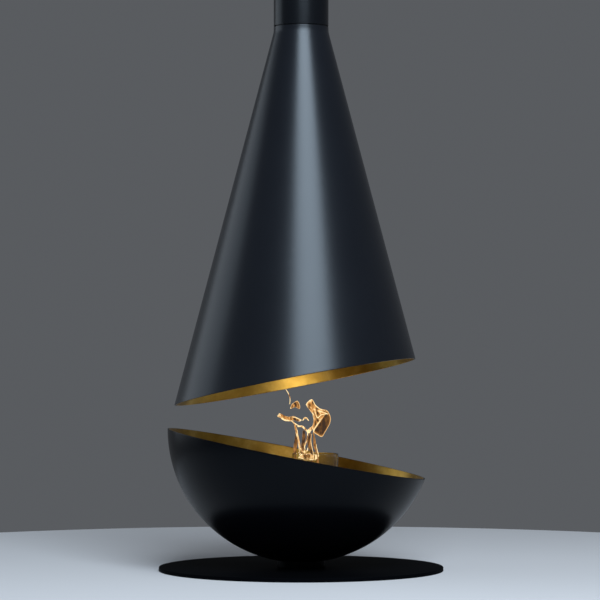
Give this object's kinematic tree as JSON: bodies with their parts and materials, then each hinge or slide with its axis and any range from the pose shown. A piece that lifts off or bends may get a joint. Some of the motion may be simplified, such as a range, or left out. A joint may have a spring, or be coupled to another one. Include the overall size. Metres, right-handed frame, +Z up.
{
  "type": "hanging fireplace",
  "caption": "Conical black hood with a gold inside on a ceiling flue, above a turning half-sphere fire bowl on a round floor plate.",
  "frame": {"origin": "centre of the floor plate's underside, on the flue's axis", "axes": "+Z up along the flue's axis, +X towards the bowl's low side, -Y towards the viewer of the picture"},
  "size_m": [0.7779, 0.778, 2.4],
  "materials": {
    "black_coat": "matt black heat-proof coat",
    "flue_black": "satin black heat-proof coat",
    "hood_black": "matt black fine-grained coat",
    "bowl_black": "matt black fine-grained coat",
    "plate_black": "satin black coat",
    "gold_leaf": "brushed gold",
    "steel": "turned, bright",
    "burner_steel": "brushed stainless",
    "bronze": "turned bronze",
    "rope": "glass-fibre rope",
    "ceramic_fibre": "ceramic fibre block",
    "grip_black": "black heat-proof moulding",
    "clear_glass": "clear, fire-polished edges"
  },
  "bodies": {
    "mounting": {"ceiling_bracket": "black_coat", "ceiling_rosette": "black_coat", "rosette_screws": "black_coat", "flue_screws": "steel", "flue_pipe": "flue_black", "flue_spigot": "black_coat", "spigot_screws": "black_coat", "hood_lower_race": "steel", "race_lock_ring": "steel", "base_plate": "plate_black", "pivot_post": "steel", "post_screws": "steel", "bowl_lower_race": "steel", "pivot_washer": "steel", "pivot_nut": "steel"},
    "hood": {"hood_shell": "hood_black", "hood_lining": "gold_leaf", "hood_collar": "steel", "hood_upper_race": "steel", "damper_housing": "black_coat", "damper_bushes": "bronze", "flue_seal": "rope"},
    "hood_cage": {"hood_ball_cage": "bronze", "hood_balls": "steel"},
    "damper": {"damper_plate": "steel", "damper_spindle": "steel", "damper_screws": "steel", "damper_crank": "steel"},
    "pull_rod": {"damper_rod": "steel", "rod_grip": "grip_black"},
    "bowl": {"bowl_shell": "bowl_black", "bowl_lining": "gold_leaf", "bowl_hub": "steel", "hub_bush": "bronze", "bowl_upper_race": "steel", "neck_ring": "black_coat", "burner_stand": "black_coat", "stand_screws": "steel", "burner_can": "burner_steel", "fibre_fill": "ceramic_fibre", "burner_top": "burner_steel", "shutter_pin": "steel"},
    "bowl_cage": {"bowl_ball_cage": "bronze", "bowl_balls": "steel"},
    "shutter": {"burner_shutter": "burner_steel", "shutter_knob": "grip_black"},
    "guard": {"glass_guard": "clear_glass"}
  },
  "joints": [
    {"name": "hood_swivel", "type": "hinge", "parent": "mounting", "child": "hood", "pos_m": [0, 0, 1.4192], "axis": [0, 0, 1], "continuous": true},
    {"name": "hood_cage_roll", "type": "hinge", "parent": "mounting", "child": "hood_cage", "pos_m": [0, 0, 1.4192], "axis": [0, 0, 1], "continuous": true},
    {"name": "damper_turn", "type": "hinge", "parent": "hood", "child": "damper", "pos_m": [0, 0, 1.3304], "axis": [-1, 0, 0], "range_deg": [0, 90]},
    {"name": "rod_hang", "type": "hinge", "parent": "damper", "child": "pull_rod", "pos_m": [0.0764, 0.02475, 1.35515], "axis": [-1, 0, 0], "range_deg": [-90, 0]},
    {"name": "bowl_swivel", "type": "hinge", "parent": "mounting", "child": "bowl", "pos_m": [0, 0, 0.0121], "axis": [0, 0, 1], "continuous": true},
    {"name": "bowl_cage_roll", "type": "hinge", "parent": "mounting", "child": "bowl_cage", "pos_m": [0, 0, 0.0121], "axis": [0, 0, 1], "continuous": true},
    {"name": "shutter_turn", "type": "hinge", "parent": "bowl", "child": "shutter", "pos_m": [0.039, 0, 0.2412], "axis": [0, 0, 1], "range_deg": [0, 60]},
    {"name": "guard_lift", "type": "slide", "parent": "bowl", "child": "guard", "axis": [0, 0, 1], "range_m": [0, 0.08]}
  ],
  "couplings": [
    {"joint": "hood_cage_roll", "follows": "hood_swivel", "ratio": 0.5},
    {"joint": "bowl_cage_roll", "follows": "bowl_swivel", "ratio": 0.5},
    {"joint": "rod_hang", "follows": "damper_turn", "ratio": -1}
  ]
}
